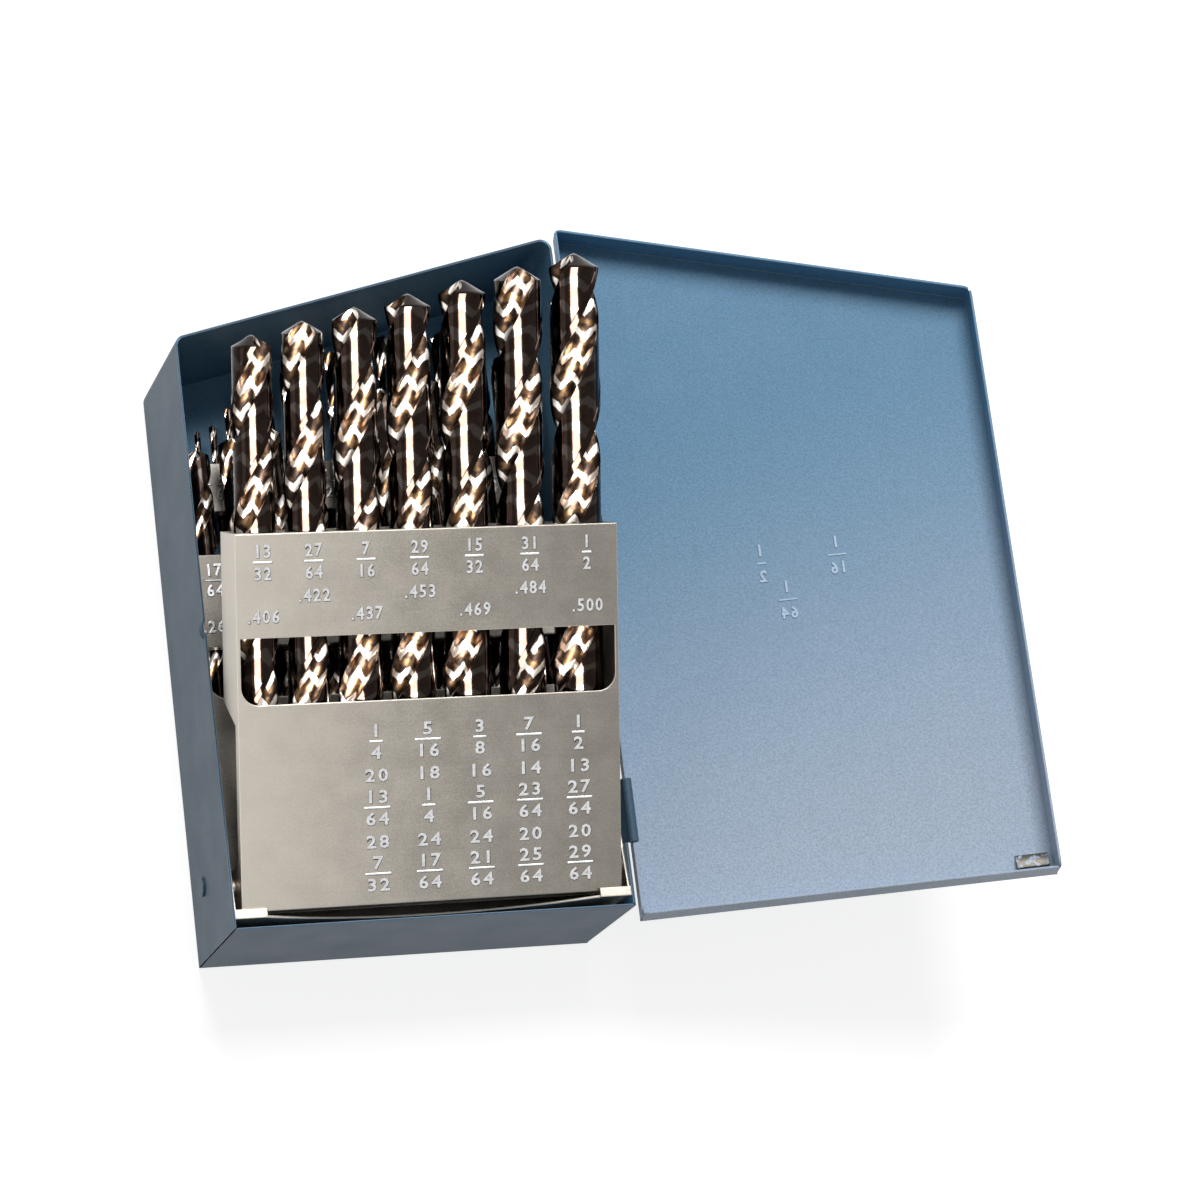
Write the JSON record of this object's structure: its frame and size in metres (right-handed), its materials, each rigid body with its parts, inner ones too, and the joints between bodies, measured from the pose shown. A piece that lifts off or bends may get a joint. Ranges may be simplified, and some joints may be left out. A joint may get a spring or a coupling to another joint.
{
  "type": "drill bit case",
  "caption": "Sheet-steel case with a hinged lid and tilting racks that hold twist drills upright in size order; it lies on its back, open.",
  "frame": {"origin": "middle of the back's flat outer face, on which the case lies", "axes": "+X from the far wall to the lid hinge, +Y along the hinge towards the drills' points, +Z out of the case's opening"},
  "size_m": [0.2125, 0.1851, 0.0966],
  "materials": {
    "case_paint": "blue-grey hammered enamel",
    "lid_paint": "blue-grey hammered enamel",
    "plated_steel": "plain plated sheet",
    "oxide_steel": "glossy black oxide"
  },
  "bodies": {
    "body": {"body_shell": "case_paint", "rack_cradle": "plated_steel", "wall_rivets": "case_paint", "front_rack_pins": "plated_steel", "middle_rack_pins": "plated_steel", "rear_rack_pins": "plated_steel"},
    "lid": {"lid_shell": "lid_paint"},
    "front_rack": {"front_rack_face": "plated_steel", "front_rack_guide": "plated_steel", "front_rack_floor": "plated_steel"},
    "drill_13_32": {"drill_13_32": "oxide_steel"},
    "drill_27_64": {"drill_27_64": "oxide_steel"},
    "drill_7_16": {"drill_7_16": "oxide_steel"},
    "drill_29_64": {"drill_29_64": "oxide_steel"},
    "drill_15_32": {"drill_15_32": "oxide_steel"},
    "drill_31_64": {"drill_31_64": "oxide_steel"},
    "drill_1_2": {"drill_1_2": "oxide_steel"},
    "middle_rack": {"middle_rack_face": "plated_steel", "middle_rack_guide": "plated_steel", "middle_rack_floor": "plated_steel"},
    "drill_17_64": {"drill_17_64": "oxide_steel"},
    "drill_9_32": {"drill_9_32": "oxide_steel"},
    "drill_19_64": {"drill_19_64": "oxide_steel"},
    "drill_5_16": {"drill_5_16": "oxide_steel"},
    "drill_21_64": {"drill_21_64": "oxide_steel"},
    "drill_11_32": {"drill_11_32": "oxide_steel"},
    "drill_23_64": {"drill_23_64": "oxide_steel"},
    "drill_3_8": {"drill_3_8": "oxide_steel"},
    "drill_25_64": {"drill_25_64": "oxide_steel"},
    "rear_rack": {"rear_rack_face": "plated_steel", "rear_rack_guide": "plated_steel", "rear_rack_floor": "plated_steel"},
    "drill_1_16": {"drill_1_16": "oxide_steel"},
    "drill_5_64": {"drill_5_64": "oxide_steel"},
    "drill_3_32": {"drill_3_32": "oxide_steel"},
    "drill_7_64": {"drill_7_64": "oxide_steel"},
    "drill_1_8": {"drill_1_8": "oxide_steel"},
    "drill_9_64": {"drill_9_64": "oxide_steel"},
    "drill_5_32": {"drill_5_32": "oxide_steel"},
    "drill_11_64": {"drill_11_64": "oxide_steel"},
    "drill_3_16": {"drill_3_16": "oxide_steel"},
    "drill_13_64": {"drill_13_64": "oxide_steel"},
    "drill_7_32": {"drill_7_32": "oxide_steel"},
    "drill_15_64": {"drill_15_64": "oxide_steel"},
    "drill_1_4": {"drill_1_4": "oxide_steel"}
  },
  "joints": [
    {"name": "lid_hinge", "type": "hinge", "parent": "body", "child": "lid", "pos_m": [0.0539, 0, 0.04175], "axis": [0, 1, 0], "range_deg": [-165.9, 0]},
    {"name": "front_rack_tilt", "type": "hinge", "parent": "body", "child": "front_rack", "pos_m": [0, -0.0781, 0.03725], "axis": [1, 0, 0], "range_deg": [-20.7, 0]},
    {"name": "middle_rack_tilt", "type": "hinge", "parent": "body", "child": "middle_rack", "pos_m": [0, -0.0781, 0.022], "axis": [1, 0, 0], "range_deg": [0, 20]},
    {"name": "rear_rack_tilt", "type": "hinge", "parent": "body", "child": "rear_rack", "pos_m": [0, -0.0781, 0.0086], "axis": [1, 0, 0], "range_deg": [0, 20]},
    {"name": "drill_13_32_lift", "type": "slide", "parent": "front_rack", "child": "drill_13_32", "axis": [0, 0.9354, 0.3535], "range_m": [0, 0.095]},
    {"name": "drill_27_64_lift", "type": "slide", "parent": "front_rack", "child": "drill_27_64", "axis": [0, 0.9354, 0.3535], "range_m": [0, 0.095]},
    {"name": "drill_7_16_lift", "type": "slide", "parent": "front_rack", "child": "drill_7_16", "axis": [0, 0.9354, 0.3535], "range_m": [0, 0.095]},
    {"name": "drill_29_64_lift", "type": "slide", "parent": "front_rack", "child": "drill_29_64", "axis": [0, 0.9354, 0.3535], "range_m": [0, 0.095]},
    {"name": "drill_15_32_lift", "type": "slide", "parent": "front_rack", "child": "drill_15_32", "axis": [0, 0.9354, 0.3535], "range_m": [0, 0.095]},
    {"name": "drill_31_64_lift", "type": "slide", "parent": "front_rack", "child": "drill_31_64", "axis": [0, 0.9354, 0.3535], "range_m": [0, 0.095]},
    {"name": "drill_1_2_lift", "type": "slide", "parent": "front_rack", "child": "drill_1_2", "axis": [0, 0.9354, 0.3535], "range_m": [0, 0.095]},
    {"name": "drill_17_64_lift", "type": "slide", "parent": "middle_rack", "child": "drill_17_64", "axis": [0, 1, 0], "range_m": [0, 0.014]},
    {"name": "drill_9_32_lift", "type": "slide", "parent": "middle_rack", "child": "drill_9_32", "axis": [0, 1, 0], "range_m": [0, 0.014]},
    {"name": "drill_19_64_lift", "type": "slide", "parent": "middle_rack", "child": "drill_19_64", "axis": [0, 1, 0], "range_m": [0, 0.014]},
    {"name": "drill_5_16_lift", "type": "slide", "parent": "middle_rack", "child": "drill_5_16", "axis": [0, 1, 0], "range_m": [0, 0.014]},
    {"name": "drill_21_64_lift", "type": "slide", "parent": "middle_rack", "child": "drill_21_64", "axis": [0, 1, 0], "range_m": [0, 0.014]},
    {"name": "drill_11_32_lift", "type": "slide", "parent": "middle_rack", "child": "drill_11_32", "axis": [0, 1, 0], "range_m": [0, 0.014]},
    {"name": "drill_23_64_lift", "type": "slide", "parent": "middle_rack", "child": "drill_23_64", "axis": [0, 1, 0], "range_m": [0, 0.014]},
    {"name": "drill_3_8_lift", "type": "slide", "parent": "middle_rack", "child": "drill_3_8", "axis": [0, 1, 0], "range_m": [0, 0.014]},
    {"name": "drill_25_64_lift", "type": "slide", "parent": "middle_rack", "child": "drill_25_64", "axis": [0, 1, 0], "range_m": [0, 0.014]},
    {"name": "drill_1_16_lift", "type": "slide", "parent": "rear_rack", "child": "drill_1_16", "axis": [0, 1, 0], "range_m": [0, 0.015]},
    {"name": "drill_5_64_lift", "type": "slide", "parent": "rear_rack", "child": "drill_5_64", "axis": [0, 1, 0], "range_m": [0, 0.0144]},
    {"name": "drill_3_32_lift", "type": "slide", "parent": "rear_rack", "child": "drill_3_32", "axis": [0, 1, 0], "range_m": [0, 0.0109]},
    {"name": "drill_7_64_lift", "type": "slide", "parent": "rear_rack", "child": "drill_7_64", "axis": [0, 1, 0], "range_m": [0, 0.0045]},
    {"name": "drill_1_8_lift", "type": "slide", "parent": "rear_rack", "child": "drill_1_8", "axis": [0, 1, 0], "range_m": [0, 0.0047]},
    {"name": "drill_9_64_lift", "type": "slide", "parent": "rear_rack", "child": "drill_9_64", "axis": [0, 1, 0], "range_m": [0, 0.0051]},
    {"name": "drill_5_32_lift", "type": "slide", "parent": "rear_rack", "child": "drill_5_32", "axis": [0, 1, 0], "range_m": [0, 0.0026]},
    {"name": "drill_11_64_lift", "type": "slide", "parent": "rear_rack", "child": "drill_11_64", "axis": [0, 1, 0], "range_m": [0, 0.0035]},
    {"name": "drill_3_16_lift", "type": "slide", "parent": "rear_rack", "child": "drill_3_16", "axis": [0, 1, 0], "range_m": [0, 0.0015]},
    {"name": "drill_13_64_lift", "type": "slide", "parent": "rear_rack", "child": "drill_13_64", "axis": [0, 1, 0], "range_m": [0, 0.0029]},
    {"name": "drill_7_32_lift", "type": "slide", "parent": "rear_rack", "child": "drill_7_32", "axis": [0, 1, 0], "range_m": [0, 0.0046]},
    {"name": "drill_15_64_lift", "type": "slide", "parent": "rear_rack", "child": "drill_15_64", "axis": [0, 1, 0], "range_m": [0, 0.0065]},
    {"name": "drill_1_4_lift", "type": "slide", "parent": "rear_rack", "child": "drill_1_4", "axis": [0, 1, 0], "range_m": [0, 0.0086]}
  ],
  "couplings": [
    {"joint": "front_rack_tilt", "follows": "lid_hinge", "ratio": 0.1247},
    {"joint": "rear_rack_tilt", "follows": "middle_rack_tilt", "ratio": 1}
  ]
}
